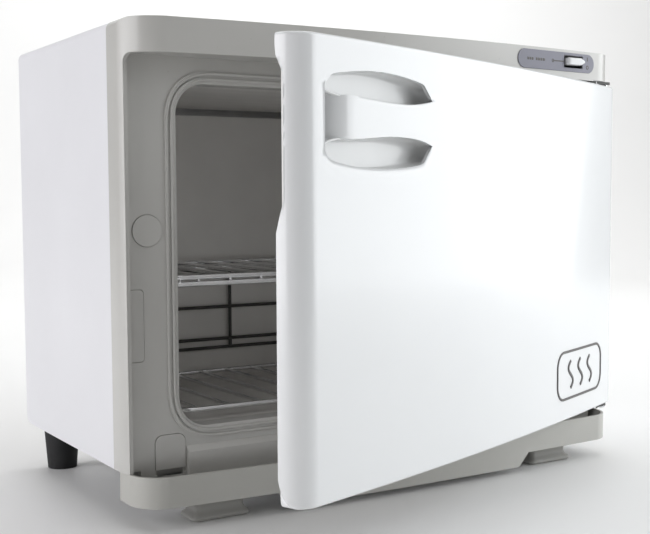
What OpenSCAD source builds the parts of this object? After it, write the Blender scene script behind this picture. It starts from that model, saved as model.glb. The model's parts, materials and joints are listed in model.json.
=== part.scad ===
// Hot towel cabinet: a bench-top warming cabinet with a side-hinged door that stands ajar.
// X runs to the right of the front, Y runs to the back, Z is up from the soles of the feet.

/* [Cabinet] */
// Overall width
body_w = 450; // [446:2:456]
// Height from the soles of the feet to the top
body_h = 348; // [346:2:354]
// Y of the front face at its two ends
face_y = -49; // [-55:1:-45]
// Y of the rear edge of the steel cover
rear_y = 193; // [190:1:210]
// How far the middle of the top band bows out in front of its ends
band_bow = 10.5; // [4:0.5:14]
// Radius of the vertical front corners
corner_r = 32; // [26:1:34]
// Height of the lower edge of the cover and the front frame
skirt_z = 38; // [36:1:40]
// Height of the underside of the top band
band_z = 325; // [320:1:328]

/* [Cavity] */
// Width of the towel cavity
cavity_w = 364; // [340:2:366]
// Height of the cavity floor
cavity_z0 = 65; // [64:1:70]
// Height of the cavity ceiling
cavity_z1 = 307; // [300:1:308]
// Y of the cavity's back wall
cavity_y1 = 172; // [160:1:174]
// Corner radius of the cavity
cavity_r = 22; // [14:1:30]
// Height of the wire shelf
shelf_z = 170; // [150:1:200]

/* [Door] */
// Angle at which the door stands open
door_ajar = 21; // [0:1:60]
// X of the free end of the closed door
door_x0 = -220.5; // [-221:0.5:-215]
// X of the hinged end of the closed door
door_x1 = 223.5; // [220:0.5:224]
// Height of the door's lower edge
door_z0 = 47.5; // [47:0.5:52]
// Height of the door's upper edge
door_z1 = 320.5; // [316:0.5:321]
// Radius of the rolled door ends
door_r = 16.5; // [12:0.5:18]
// How far the middle of the door bows out in front of its ends
door_bow = 7; // [3:0.5:10]
// Wall thickness of the moulded door shell
door_t = 2.5; // [2:0.25:3]
// X of the hinge axis
hinge_x = 215; // [213:0.5:216]
// Y of the hinge axis
hinge_y = -39; // [-41:0.5:-38]
// Diameter of the hinge pins
pin_d = 6; // [5:0.5:7]

/* [Feet] */
// Distance between the centres of the two front feet
front_foot_pitch = 314; // [300:2:340]
// Distance between the centres of the two rear feet
rear_foot_pitch = 402; // [380:2:404]

/* [Hidden] */
$fn = 64;
eps = 0.01;
half_w = body_w / 2;
half_c = cavity_w / 2;
split_y = face_y + 42;
panel_y = face_y + 25;
rim_y = face_y + 19.5;
sill_y = panel_y - 4;
panel_z0 = 30;
panel_half = 212;
lip_r = 6;
boss_x0 = 195;
sill_x0 = -177;
boss_z1 = 46.4;
drain_z0 = 37;
plastic_t = 2.6;
sheet_t = 1;
panel_t = 2.6;
collar_t = 2;
collar_y1 = split_y - 1;
deck_z0 = skirt_z + sheet_t;
deck_z1 = deck_z0 + 1.2;
liner_y0 = collar_y1;
back_y0 = rear_y - 2.2;
back_y1 = rear_y - sheet_t;
front_foot_y = -27;
rear_foot_y = 175;
carrier_z0 = 16;
carrier_z1 = 17.5;
tray_z0 = 17.8;
tray_top = skirt_z - 0.3;
switch_x = 166;
switch_z = 338.5;
label_x0 = 101;
label_x1 = 192;
band_face_y = face_y - 3.6;
door_back_y = face_y + 19.2;
inner_t = 2;
handle_x0 = -198.6;
handle_x1 = -90.8;
handle_z = 274.4;
roll_x = -174.6;
roll_r = 17;
slot_h = 18;
leaf_out = 29.1;
leaf_in = 10.3;
cup_y = face_y + 16.6;
wire_d = 4;
rack_z = 72;
bracket_screw_x = 201;
upper_screw_y = [-42.5, -31.5];
lower_screw_x = [201, 217];
lower_screw_z = 41;
arm_z = 43.5;
arm_t = 2.5;
arm_r = 5;
tray_half = 222;
tray_r = 24;
tray_y = -50.5;
tray_bow = 6;
tray_rear_z = 28.5;
knob_y = -44;
notch_depth = 5.5;
notch_z0 = 210;
notch_z1 = 308;
channel_x = -212;
channel_y = door_back_y - notch_depth;
door_low_r = 5;
door_up_r = 3.5;
door_mid = (door_x0 + door_x1) / 2;
door_half = (door_x1 - door_x0) / 2 - door_r;
door_bow_r = (door_half * door_half + door_bow * door_bow) / (2 * door_bow);

// A box from its low and high corners
module box(x0, x1, y0, y1, z0, z1) {
    translate([x0, y0, z0])
        cube([x1 - x0, y1 - y0, z1 - z0]);
}

// Extrudes an X-Z drawing from Y = y0 to Y = y1
module along_y(y0, y1) {
    translate([0, y1, 0])
        rotate([90, 0, 0])
            linear_extrude(y1 - y0)
                children();
}

// Extrudes an X-Y drawing from Z = z0 to Z = z1
module along_z(z0, z1) {
    translate([0, 0, z0])
        linear_extrude(z1 - z0)
            children();
}

// A cylinder whose axis runs along Y
module rod_y(x, z, y0, y1, d) {
    translate([x, y1, z])
        rotate([90, 0, 0])
            cylinder(d = d, h = y1 - y0);
}

// A cylinder whose axis runs along X
module rod_x(y, z, x0, x1, d) {
    translate([x0, y, z])
        rotate([0, 90, 0])
            cylinder(d = d, h = x1 - x0);
}

// A cylinder whose axis runs along Z
module rod_z(x, y, z0, z1, d) {
    translate([x, y, z0])
        cylinder(d = d, h = z1 - z0);
}

// A rectangle with round corners
module round_rect(x0, x1, y0, y1, r) {
    translate([x0 + r, y0])
        square([x1 - x0 - 2 * r, y1 - y0]);
    translate([x0, y0 + r])
        square([x1 - x0, y1 - y0 - 2 * r]);
    for (x = [x0 + r, x1 - r], y = [y0 + r, y1 - r])
        translate([x, y])
            circle(r);
}

// The plan of a bowed front with round corners, shrunk by inset and closed at y_back
module bowed_plan(x0, x1, y_ends, bow, r, y_back, inset = 0) {
    mid = (x0 + x1) / 2;
    h = (x1 - x0) / 2 - r;
    bow_r = (h * h + bow * bow) / (2 * bow);
    front_y = y_ends - bow - 1;
    corner_y = y_ends + r;
    // the arc of the bow ends inside the arc of the corner
    end_x = h * (1 + r / bow_r);
    intersection() {
        translate([mid, y_ends - bow + bow_r])
            circle(bow_r - inset, $fn = 240);
        translate([mid - end_x, front_y])
            square([2 * end_x, corner_y - front_y]);
    }
    for (side = [-1, 1])
        intersection() {
            translate([mid + side * h, corner_y])
                circle(r - inset);
            translate([mid + side * h - r, front_y])
                square([2 * r, corner_y - front_y]);
        }
    translate([x0 + inset, corner_y])
        square([x1 - x0 - 2 * inset, y_back - corner_y]);
}

// The plan of the cabinet's front, and that of the door
module cabinet_plan(y_back, inset = 0) {
    bowed_plan(-half_w, half_w, face_y, band_bow, corner_r, y_back, inset);
}

module door_plan(inset = 0) {
    bowed_plan(door_x0, door_x1, face_y, door_bow, door_r, door_back_y, inset);
}

// Swings what belongs to the door from the closed place to the ajar one
module on_door() {
    translate([hinge_x, hinge_y, 0])
        rotate([0, 0, door_ajar])
            translate([-hinge_x, -hinge_y, 0])
                children();
}

// The cavity's outline in X-Z, grown by g
module cavity_outline(g) {
    round_rect(-half_c - g, half_c + g, cavity_z0 - g, cavity_z1 + g, cavity_r + g);
}

// A pan-head screw that points along +Z, with its head below z
module screw_up(x, y, z, d, length) {
    rod_z(x, y, z, z + length, d);
    rod_z(x, y, z - d * 0.6, z, d * 1.9);
}

// A wire that runs straight from point to point, with round bends
module run(points, d) {
    for (i = [0 : len(points) - 2])
        hull() {
            for (p = [points[i], points[i + 1]])
                translate(p)
                    sphere(d = d, $fn = 10);
        }
}

// ---------- casing ----------

module cover_outline(inset) {
    difference() {
        round_rect(-half_w + inset, half_w - inset, skirt_z - 20, body_h - inset, max(6 - inset, 1));
        translate([-half_w, skirt_z - 21])
            square([body_w, 21 + inset]);
    }
}

module wrap_cover() color("whitesmoke") {
    side_r = 9;
    difference() {
        union() {
            difference() {
                along_y(split_y, rear_y) cover_outline(0);
                along_y(split_y - 1, rear_y - sheet_t) cover_outline(sheet_t);
                along_y(rear_y - 2, rear_y + 1) cover_outline(9);
            }
        }
        box(-half_w + 12, half_w - 12, split_y - 1, rear_y + 1, skirt_z - 1, skirt_z + 12);
        // the lower rear corners of the two sides are rounded
        for (x = [-half_w - 1, half_w - 12.5])
            difference() {
                box(x, x + 13.5, rear_y - side_r, rear_y + 1, skirt_z - 1, skirt_z + side_r);
                rod_x(rear_y - side_r, skirt_z + side_r, x - 1, x + 14.5, 2 * side_r);
            }
        for (x = [-rear_foot_pitch / 2, rear_foot_pitch / 2])
            rod_z(x, rear_foot_y, skirt_z - 2, skirt_z + 3, 32);
        for (p = back_screw_places())
            rod_y(p[0], p[1], rear_y - 2, rear_y + 1, 3);
    }
}

function back_screw_places() = [for (x = [-219.5, 219.5], z = [70, 190, 320]) [x, z]];

module back_panel() color("gainsboro") difference() {
    along_y(back_y0, back_y1)
        round_rect(-half_w + 1.3, half_w - 1.3, deck_z1 + 0.1, body_h - 1.3, 4);
    for (row = [70, 256], i = [-9 : 9])
        along_y(back_y0 - 1, back_y1 + 1)
            round_rect(i * 12 - 2, i * 12 + 2, row, row + 24, 1.9);
    box(136, 164, back_y0 - 1, back_y1 + 1, 43, 63);
    rod_y(110, 53, back_y0 - 1, back_y1 + 1, 4.2);
    for (p = back_screw_places())
        rod_y(p[0], p[1], back_y0 - 1, back_y1 + 1, 3);
}

module back_screws() color("silver")
    for (p = back_screw_places()) {
        rod_y(p[0], p[1], back_y0 - 5, rear_y, 2.9);
        rod_y(p[0], p[1], rear_y, rear_y + 2, 6.5);
    }

module base_plate() color("lightgray") difference() {
    box(-half_w + 1.3, half_w - 1.3, split_y + 5, back_y0 - 0.1, deck_z0, deck_z1);
    for (x = [-rear_foot_pitch / 2, rear_foot_pitch / 2])
        rod_z(x, rear_foot_y, deck_z0 - 1, deck_z1 + 1, 4.2);
    for (x = [-150, 150])
        rod_z(x, 8, deck_z0 - 1, deck_z1 + 1, 3.2);
    for (i = [-6 : 6])
        along_z(deck_z0 - 1, deck_z1 + 1)
            round_rect(i * 16 - 2, i * 16 + 2, 60, 110, 1.9);
}

module front_frame() color("silver") difference() {
    union() {
        // left and right side strips and the closed top band
        intersection() {
            along_z(skirt_z, body_h) difference() {
                cabinet_plan(split_y);
                cabinet_plan(split_y + 1, plastic_t);
            }
            union() {
                box(-half_w - 1, -half_w / 2, rim_y, split_y, skirt_z, band_z + eps);
                box(half_w / 2, half_w + 1, panel_y, split_y, skirt_z, band_z + eps);
                box(-half_w - 1, half_w + 1, face_y - band_bow - 1, split_y, band_z, body_h);
                // the left cut-out has a rounded upper corner
                translate([-half_w - 1, 0, 0])
                    rotate([90, 0, 90])
                        linear_extrude(40)
                            difference() {
                                translate([rim_y - lip_r - 0.2, band_z - lip_r - 0.2])
                                    square([lip_r + 1, lip_r + 1]);
                                translate([rim_y - lip_r - 0.2, band_z - lip_r - 0.2])
                                    circle(lip_r);
                            }
            }
        }
        intersection() {
            along_z(band_z, body_h)
                cabinet_plan(split_y);
            union() {
                box(-half_w, half_w, face_y - 20, split_y, body_h - plastic_t, body_h);
                box(-half_w, half_w, face_y - 20, panel_y + panel_t, band_z, band_z + plastic_t);
            }
        }
        // recessed panel with two ribs round the cavity opening, and a collar behind it
        along_y(panel_y, panel_y + panel_t) difference() {
            union() {
                translate([-half_w + 1, skirt_z])
                    square([body_w - 2, band_z - skirt_z + 1]);
                translate([-panel_half, panel_z0])
                    square([2 * panel_half, skirt_z - panel_z0 + 1]);
            }
            cavity_outline(0);
        }
        // sloped sill that leads water from the panel into the drip tray
        translate([sill_x0, 0, 0])
            rotate([90, 0, 90])
                linear_extrude(boss_x0 - sill_x0 + 1)
                    polygon([[panel_y + 1, panel_z0], [sill_y, panel_z0], [sill_y, 48],
                        [panel_y, 52], [panel_y + 1, 52]]);
        // low boss under the door's corner, which carries the lower hinge plate
        box(boss_x0, panel_half, sill_y, panel_y + 1, panel_z0, boss_z1);
        box(panel_half - 1, half_w - plastic_t, sill_y, panel_y + 1, skirt_z + 0.4, boss_z1);
        along_y(panel_y, collar_y1) difference() {
            cavity_outline(collar_t);
            cavity_outline(0);
        }
        for (g = [2.7, 6.7])
            along_y(panel_y - 1.4, panel_y + 1) difference() {
                cavity_outline(g + 1.6);
                cavity_outline(g);
            }
        // joggled flange that the steel cover slides over
        along_y(split_y - 4, split_y + 8) intersection() {
            difference() {
                cover_outline(1.4);
                cover_outline(3.4);
            }
            translate([-half_w, skirt_z + 4])
                square([body_w, body_h]);
        }
    }
    // upper outer corners follow the cover
    along_y(face_y - 20, split_y + 9) difference() {
        translate([-half_w - 1, body_h - 6])
            square([body_w + 2, 7]);
        round_rect(-half_w, half_w, skirt_z, body_h, 6);
    }
    // windows for the rocker switch, the screw cap, the striker and the drain cover
    box(switch_x - 11.5, switch_x + 11.5, face_y - 20, face_y + 3, switch_z - 5, switch_z + 5);
    rod_y(-204.5, 205, panel_y - 1, panel_y + 1, 22.6);
    rod_y(-204.5, 205, panel_y - 1, panel_y + 5, 8);
    along_y(panel_y - 1, panel_y + 1.4) round_rect(-219.3, -207.7, 114.2, 164.8, 3);
    along_y(sill_y - 1, panel_y + 1.4) drain_outline(0.3);
    box(-199.5, -179.5, panel_y - 1, panel_y + panel_t + 1, panel_z0 + 2, drain_z0);
    for (x = lower_screw_x)
        rod_y(x, lower_screw_z, sill_y - 1, panel_y + 5, 2.5);
    for (y = upper_screw_y)
        rod_z(bracket_screw_x, y, band_z - 1, band_z + plastic_t + 1, 2.9);
}

// Round cap in the panel over the frame's fixing screw
module screw_cap() color("darkgray") {
    rod_y(-204.5, 205, panel_y - 0.8, panel_y + 1, 22);
    rod_y(-204.5, 205, panel_y + 1, panel_y + 4, 7.8);
}

// Steel striker that the door magnet closes on
module striker_plate() color("gray")
    along_y(panel_y - 0.5, panel_y + 1.4) round_rect(-219, -208, 114.5, 164.5, 2.7);

module drain_outline(g) {
    difference() {
        round_rect(-201 - g, -178 + g, 24, 61.5 + g, 6);
        translate([-210, 20])
            square([40, drain_z0 - 20 - (g > 0 ? 3 : 0)]);
    }
}

// Cover over the condensate drain at the panel's lower left
module drain_cover() color("darkgray")
    along_y(panel_y - 0.7, panel_y + 1.4) drain_outline(0);

// ---------- cavity ----------

module cavity_liner() color("dimgray") difference() {
    union() {
        along_y(liner_y0, cavity_y1 + sheet_t) cavity_outline(sheet_t);
        along_y(liner_y0, liner_y0 + sheet_t) cavity_outline(9);
    }
    along_y(liner_y0 - 1, cavity_y1) cavity_outline(0);
    // long slot at the top of the back wall
    along_y(cavity_y1 - 1, cavity_y1 + 2)
        round_rect(cavity_r + 2 - half_c, half_c - cavity_r - 2, cavity_z1 - 6.7, cavity_z1 - 0.6, 2.8);
}

module heater_plate() color("silver")
    box(-150, 150, 12, 150, cavity_z0 - 4, cavity_z0 - sheet_t);

module heating_element() color("dimgray") {
    z = cavity_z0 - 8;
    bend_r = 12;
    for (i = [0 : 3])
        rod_x(30 + 24 * i, z, i == 0 ? -130 : -100, i == 3 ? -99 : 100, 7);
    rod_x(102, z, -130, 100, 7);
    for (i = [0, 2])
        translate([100, 42 + 24 * i, z])
            rotate([0, 0, -90])
                rotate_extrude(angle = 180)
                    translate([bend_r, 0])
                        circle(d = 7);
    translate([-100, 66, z])
        rotate([0, 0, 90])
            rotate_extrude(angle = 180)
                translate([bend_r, 0])
                    circle(d = 7);
}

module insulation_wrap() color("khaki")
    along_y(4, 160) difference() {
        round_rect(-207, 207, 72, 330, 12);
        cavity_outline(sheet_t + 0.6);
        translate([-150, 60])
            square([300, 20]);
        translate([-207, 60])
            square([414, 26]);
    }

module insulation_rear() color("khaki") difference() {
    along_y(cavity_y1 + sheet_t + 0.2, back_y0 - 5)
        round_rect(-175, 175, 72, 288, 10);
    rod_y(60, 110, cavity_y1, back_y0, 26);
}

module thermostat() color("burlywood") {
    rod_y(60, 110, cavity_y1 + sheet_t, cavity_y1 + 7, 16);
    rod_y(60, 110, cavity_y1 + 7, cavity_y1 + 12, 12);
    for (x = [52, 66])
        box(x, x + 2, cavity_y1 + 8, cavity_y1 + 16, 107, 113);
}

module thermal_fuse() color("silver") {
    rod_x(142, cavity_z0 - 7.5, -30, -8, 6);
    rod_x(142, cavity_z0 - 7.5, -38, 0, 2);
}

module terminal_block() color("ivory") difference() {
    box(60, 104, 150, 168, deck_z1, deck_z1 + 13);
    for (i = [0 : 3])
        rod_z(65.5 + 11 * i, 159, deck_z1 + 5, deck_z1 + 14, 4.5);
}

// Wires that run along fixed routes inside the casing
module wiring_harness() color("firebrick") {
    up_x = 215;
    run([[150, 164, 53], [150, 150, 53], [107, 150, 47], [105.6, 159, 47]], 3);
    run([[58.4, 159, 47], [20, 159, 47], [-45, 142, 50], [-45, 142, 57.5], [-39.6, 142, 57.5]], 3);
    run([[75, 148.4, 47], [75, 135, 47], [up_x, 135, 47], [up_x, 135, 336], [up_x, 5, 339],
        [switch_x, -12, 339], [switch_x, -20, 339]], 3);
    run([[82, 169.6, 47], [82, 178, 47], [53, 188, 60], [53, 188, 105.3]], 3);
}

// Three-blade inlet socket for a detachable cord
module power_inlet() color("black") {
    difference() {
        union() {
            along_y(back_y1, back_y1 + 2.5) round_rect(130, 170, 41.5, 64.5, 3);
            box(136.5, 163.5, 166, back_y1 + 1, 43.5, 62.5);
        }
        box(138.3, 161.7, 174, back_y1 + 4, 45.5, 60.5);
    }
    for (p = [[144, 50], [150, 55], [156, 50]])
        box(p[0] - 0.8, p[0] + 0.8, 173, 189, p[1] - 2, p[1] + 2);
}

module earth_stud() color("goldenrod") {
    rod_y(110, 53, back_y0 - 12, back_y1 + 4, 4);
    along_y(back_y0 - 3.2, back_y0) translate([110, 53]) circle(d = 8.1, $fn = 6);
    along_y(back_y1, back_y1 + 3) translate([110, 53]) circle(d = 8.1, $fn = 6);
}

module wire_shelf() color("gainsboro") {
    y0 = -3;
    y1 = cavity_y1 - 8;
    x = half_c - 5;
    for (z = [shelf_z, shelf_z - 5]) {
        rod_x(y0, z, -x, x, wire_d);
        rod_x(y1, z, -x, x, wire_d);
    }
    for (side = [-x, x]) {
        rod_y(side, shelf_z, y0, y1, wire_d);
        for (y = [y0, y1])
            rod_z(side, y, shelf_z - 5, shelf_z, wire_d);
    }
    for (i = [-6 : 6])
        rod_y(i * 26, shelf_z, y0, y1, 3);
}

module shelf_rails() color("silver") {
    top = shelf_z - wire_d / 2;
    for (side = [0, 1])
        mirror([side, 0, 0]) {
            box(half_c - 10, half_c, 10, 150, top - 1.2, top);
            box(half_c - 1.2, half_c, 10, 150, top - 8, top);
        }
}

module rear_guard() color("dimgray") {
    y = cavity_y1 - 3;
    for (z = [100, 129, 158])
        rod_x(y, z, -165, 165, 3);
    for (i = [-2 : 1])
        rod_z(i * 86 + 43, y, 92, 162, 3);
    for (x = [-165, 165])
        rod_z(x, y, 92, 162, 3);
    for (x = [-165, 165], z = [100, 158])
        rod_y(x, z, y, cavity_y1, 3);
}

module floor_rack() color("gainsboro") {
    y0 = 0;
    y1 = cavity_y1 - 10;
    x = half_c - 14;
    for (y = [y0, y1]) {
        rod_x(y, rack_z, -x, x, wire_d);
        for (leg = [-150, 150])
            rod_z(leg, y, cavity_z0, rack_z, wire_d);
    }
    for (side = [-x, x])
        rod_y(side, rack_z, y0, y1, wire_d);
    for (i = [-6 : 6])
        rod_y(i * 26, rack_z, y0, y1, 3);
}

// ---------- underside ----------

// Channel under the cabinet's front edge: it holds the front feet and the drip tray
module tray_carrier() color("silver") difference() {
    union() {
        box(-205, 205, -38, -6.6, carrier_z0, carrier_z1);
        box(-205, 205, -8.1, -6.6, carrier_z0, deck_z0);
        box(-205, 205, -8.1, 14, deck_z0 - 1.5, deck_z0);
    }
    for (side = [-1, 1])
        rod_z(side * front_foot_pitch / 2, front_foot_y, carrier_z0 - 1, carrier_z1 + 1, 4.2);
    for (x = [-150, 150])
        rod_z(x, 8, deck_z0 - 3, deck_z0 + 1, 3.2);
}

module tray_plan(y_back, inset = 0) {
    bowed_plan(-tray_half, tray_half, tray_y, tray_bow, tray_r, y_back, inset);
}

// Drip tray that slides out towards the front
module drip_tray() color("darkgray") {
    difference() {
        along_z(tray_z0 - 1.8, tray_top) tray_plan(-10);
        along_z(tray_z0 + 2.2, tray_top + 1) tray_plan(-12.2, 2.4);
        // the rear wall stays lower, to pass under the panel
        box(-panel_half - 3, panel_half + 3, -26, 0, tray_rear_z, tray_top + 1);
        // the floor is cut back above the carrier, and the skirt stays in front of it
        box(-206, 206, -39, 0, tray_z0 - 3, tray_z0);
    }
    // front skirt that reaches down between the feet
    intersection() {
        along_z(5, tray_z0 + 2) difference() {
            tray_plan(-20);
            tray_plan(-19, 2.4);
        }
        along_y(tray_y - 20, -42.5)
            polygon([[-122, tray_z0 + 2], [-108, 5], [108, 5], [122, tray_z0 + 2]]);
    }
}

// Front feet: short plastic blocks with a waist above the sole
module front_foot(x) {
    half = 23;
    y0 = front_foot_y - 13.5;
    y1 = front_foot_y + 12;
    difference() {
        union() {
            along_z(0, 4) round_rect(x - half, x + half, y0, y1, 6);
            along_z(4, carrier_z0) round_rect(x - half + 4, x + half - 4, y0 + 4, y1 - 3, 5);
            along_z(carrier_z0 - 3, carrier_z0 - 0.3) round_rect(x - half, x + half, y0 + 1, y1, 6);
        }
        rod_z(x, front_foot_y, -1, carrier_z0 + 1, 4.2);
        rod_z(x, front_foot_y, -1, 5, 10);
    }
}

module front_feet() color("gray")
    for (side = [-1, 1])
        front_foot(side * front_foot_pitch / 2);

module rear_feet() color("black")
    for (side = [-1, 1])
        difference() {
            translate([side * rear_foot_pitch / 2, rear_foot_y, 0])
                cylinder(d1 = 24, d2 = 30, h = deck_z0);
            rod_z(side * rear_foot_pitch / 2, rear_foot_y, -1, deck_z0 + 1, 4.2);
            rod_z(side * rear_foot_pitch / 2, rear_foot_y, -1, 12, 10);
        }

module foot_screws() color("silver")
    for (side = [-1, 1]) {
        screw_up(side * front_foot_pitch / 2, front_foot_y, 5, 4, 12.4);
        screw_up(side * rear_foot_pitch / 2, rear_foot_y, 12, 4, 34);
        screw_up(side * 150, 8, deck_z0 - 1.5, 3, 8);
    }

// ---------- hinges ----------

// The plan of a hinge plate, round about the pin
module hinge_arm(x0) {
    translate([hinge_x, hinge_y])
        circle(arm_r);
    translate([x0, hinge_y - arm_r])
        square([hinge_x - x0, 2 * arm_r]);
    translate([x0, hinge_y])
        square([hinge_x + arm_r - x0, sill_y - 1 - hinge_y]);
}

// Upper hinge plate, screwed to the underside of the top band
module hinge_bracket_upper() color("silver") difference() {
    along_z(band_z - 2, band_z) hinge_arm(196);
    rod_z(hinge_x, hinge_y, band_z - 3, band_z + 1, pin_d);
    for (y = upper_screw_y)
        rod_z(bracket_screw_x, y, band_z - 3, band_z + 1, 3.1);
}

// Lower hinge plate that stands out of the panel under the door
module hinge_bracket_lower() color("silver") difference() {
    union() {
        along_z(arm_z, arm_z + arm_t) hinge_arm(206);
        box(196, 222, sill_y - 1.8, sill_y, skirt_z + 0.4, arm_z + arm_t);
    }
    rod_z(hinge_x, hinge_y, 43, 47, pin_d);
    for (x = lower_screw_x)
        rod_y(x, lower_screw_z, sill_y - 3, sill_y + 1, 2.6);
}

module hinge_pins() color("lightgray") {
    rod_z(hinge_x, hinge_y, arm_z, 60, pin_d);
    rod_z(hinge_x, hinge_y, arm_z - 1.5, arm_z, pin_d + 3);
    rod_z(hinge_x, hinge_y, 309, band_z, pin_d);
}

module hinge_screws() color("silver") {
    for (y = upper_screw_y) {
        rod_z(bracket_screw_x, y, band_z - 2, band_z + 7, 2.9);
        rod_z(bracket_screw_x, y, band_z - 3.4, band_z - 2, 5.4);
    }
    for (x = lower_screw_x) {
        rod_y(x, lower_screw_z, sill_y - 1.8, panel_y + 7, 2.5);
        rod_y(x, lower_screw_z, sill_y - 3.2, sill_y - 1.8, 4.4);
    }
}

// ---------- controls ----------

module control_label() color("slategray") intersection() {
    along_z(band_z, body_h) difference() {
        bowed_plan(-half_w - 0.6, half_w + 0.6, face_y - 0.6, band_bow, corner_r + 0.6, split_y);
        cabinet_plan(split_y + 1);
    }
    along_y(face_y - 20, face_y + 5) difference() {
        round_rect(label_x0, label_x1, 330.3, 345.7, 7.6);
        translate([switch_x - 11.5, switch_z - 5])
            square([23, 10]);
    }
}

module switch_body() color("dimgray") {
    difference() {
        box(switch_x - 11.4, switch_x + 11.4, face_y - 2.5, -30, switch_z - 4.9, switch_z + 4.9);
        box(switch_x - 10.3, switch_x + 10.3, face_y - 4, -38, switch_z - 4.4, switch_z + 4.4);
        box(switch_x - 12, switch_x + 12, face_y - 4, face_y + 0, switch_z - 6, switch_z - 4.4);
        box(switch_x - 12, switch_x + 12, face_y - 4, face_y + 0, switch_z + 4.4, switch_z + 6);
    }
    for (x = [-6, 6])
        box(switch_x + x - 1, switch_x + x + 1, -30, -23, switch_z - 3, switch_z + 3);
    rod_x(knob_y, switch_z, switch_x - 10.4, switch_x - 9.4, 2);
    rod_x(knob_y, switch_z, switch_x + 9.4, switch_x + 10.4, 2);
}

// Rocker that tips up and down about a cross pivot
module power_knob() color("white") difference() {
    union() {
        intersection() {
            rod_x(knob_y, switch_z, switch_x - 9.8, switch_x + 9.8, 26);
            box(switch_x - 9.8, switch_x + 9.8, -57.5, knob_y, switch_z - 3, switch_z + 3);
        }
        rod_x(knob_y, switch_z, switch_x - 9.8, switch_x + 9.8, 6);
    }
    rod_x(knob_y, switch_z, switch_x - 12, switch_x - 9.3, 2.1);
    rod_x(knob_y, switch_z, switch_x + 9.3, switch_x + 12, 2.1);
}

// ---------- door ----------

// One leaf of the handle recess: the overlap of two circles, with its right end cut on a slant
module leaf(lift) {
    outer_r = 235;
    inner_r = 300;
    mirror([0, lift < 0 ? 1 : 0, 0])
        intersection() {
            translate([-145.5, leaf_out - outer_r])
                circle(outer_r, $fn = 180);
            translate([-128, leaf_in + inner_r])
                circle(inner_r, $fn = 180);
            polygon([[handle_x0, 0], [handle_x1, 0], [handle_x1, 14], [-101, 25], [-101, 40],
                [-193, 40], [-193, 23.5], [handle_x0, 18]]);
        }
}

// The handle window in X-Z: two leaves joined by a slot along the left edge
module handle_window() translate([0, handle_z]) {
    leaf(1);
    leaf(-1);
    translate([handle_x0, -slot_h])
        square([roll_x - handle_x0, 2 * slot_h]);
}

// The door's outline in X-Z, with round corners at the free end
module door_outline(inset, low_r = door_low_r) {
    low = low_r - inset;
    up = door_up_r - inset;
    x0 = door_x0 + inset;
    x1 = door_x1 - inset;
    z0 = door_z0 + inset;
    z1 = door_z1 - inset;
    translate([x0 + low, z0])
        square([x1 - x0 - low, z1 - z0]);
    translate([x0, z0 + low])
        square([low + 1, z1 - up - z0 - low]);
    translate([x0 + up, z1 - up - 1])
        square([low, up + 1]);
    translate([x0 + low, z0 + low])
        circle(low);
    translate([x0 + up, z1 - up])
        circle(up);
}

// Y of the axis of the handle's roll, so that the roll meets the bowed front
roll_y = door_front(roll_x) + roll_r;

module door_shell() color("white") on_door() difference() {
    union() {
        difference() {
            intersection() {
                along_z(door_z0, door_z1) door_plan();
                along_y(face_y - 30, door_back_y + 1) door_outline(0);
            }
            intersection() {
                along_z(door_z0 + door_t, door_z1 - door_t) door_plan(door_t);
                along_y(face_y - 30, door_back_y + 1) door_outline(door_t);
            }
            along_y(door_back_y - 6, door_back_y + 1) door_outline(door_t);
            // finger notch in the rear edge of the free end
            translate([door_x0 - 1, 0, 0])
                rotate([90, 0, 90])
                    linear_extrude(door_t + 1.2)
                        polygon([[door_back_y + 1, notch_z0], [channel_y, notch_z0 + 14],
                            [channel_y, notch_z1 - 12], [door_back_y + 1, notch_z1]]);
            along_y(face_y - 20, door_back_y - 4) handle_window();
        }
        // finger channel behind the notch
        difference() {
            box(door_x0 + door_t - eps, channel_x, channel_y - 2, door_back_y - inner_t, notch_z0 - 2, notch_z1 + 2);
            box(door_x0, channel_x - 2, channel_y, 0, notch_z0, notch_z1);
        }
        // grip: the tongue between the leaves ends in a roll that turns into the door
        difference() {
            intersection() {
                along_z(handle_z - slot_h, handle_z + slot_h) difference() {
                    translate([roll_x, roll_y])
                        circle(roll_r, $fn = 96);
                    translate([roll_x, roll_y])
                        circle(roll_r - door_t, $fn = 96);
                }
                box(roll_x - roll_r, roll_x, face_y - 20, roll_y, 200, 340);
            }
            along_y(face_y - 20, roll_y + 1)
                translate([0, handle_z]) {
                    leaf(1);
                    leaf(-1);
                }
        }
    }
    for (z = [door_z0 - 1, door_z1 - 13])
        rod_z(hinge_x, hinge_y, z, z + 14, 12);
}

// Y of the closed door's bowed front at x
function door_front(x) = face_y - door_bow + door_bow_r
    - sqrt(door_bow_r * door_bow_r - (x - door_mid) * (x - door_mid));

module door_inner() color("whitesmoke") on_door() difference() {
    along_y(door_back_y - inner_t, door_back_y) door_outline(door_t + 0.3, 16);
    // groove for the gasket and the pocket for the magnet
    along_y(door_back_y - 0.8, door_back_y + 1) difference() {
        cavity_outline(11);
        cavity_outline(1);
    }
    along_y(door_back_y - 5, door_back_y + 1) round_rect(-218, -208, 120, 159, 1);
    box(door_x0 - 1, channel_x - 2, door_back_y - 5, 0, notch_z0, notch_z1);
    rod_z(hinge_x, hinge_y, door_z0, door_z1, 16);
    for (p = door_screw_places())
        rod_y(p[0], p[1], door_back_y - 5, door_back_y + 1, 3.1);
}

module door_foam() color("khaki") on_door() difference() {
    along_z(door_z0 + door_t + 0.3, door_z1 - door_t - 0.3) intersection() {
        door_plan(door_t + 0.3);
        translate([-190, -100])
            square([388, 100 + door_back_y - inner_t - 0.3]);
    }
    box(-206, handle_x1 + 6, -100, 0, 236, 311);
    for (p = door_screw_places())
        rod_y(p[0], p[1], door_back_y - 12, door_back_y, 10);
}

function door_screw_places() = [for (x = [-198, 198], z = [62, 230, 309]) [x, z]];

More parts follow.
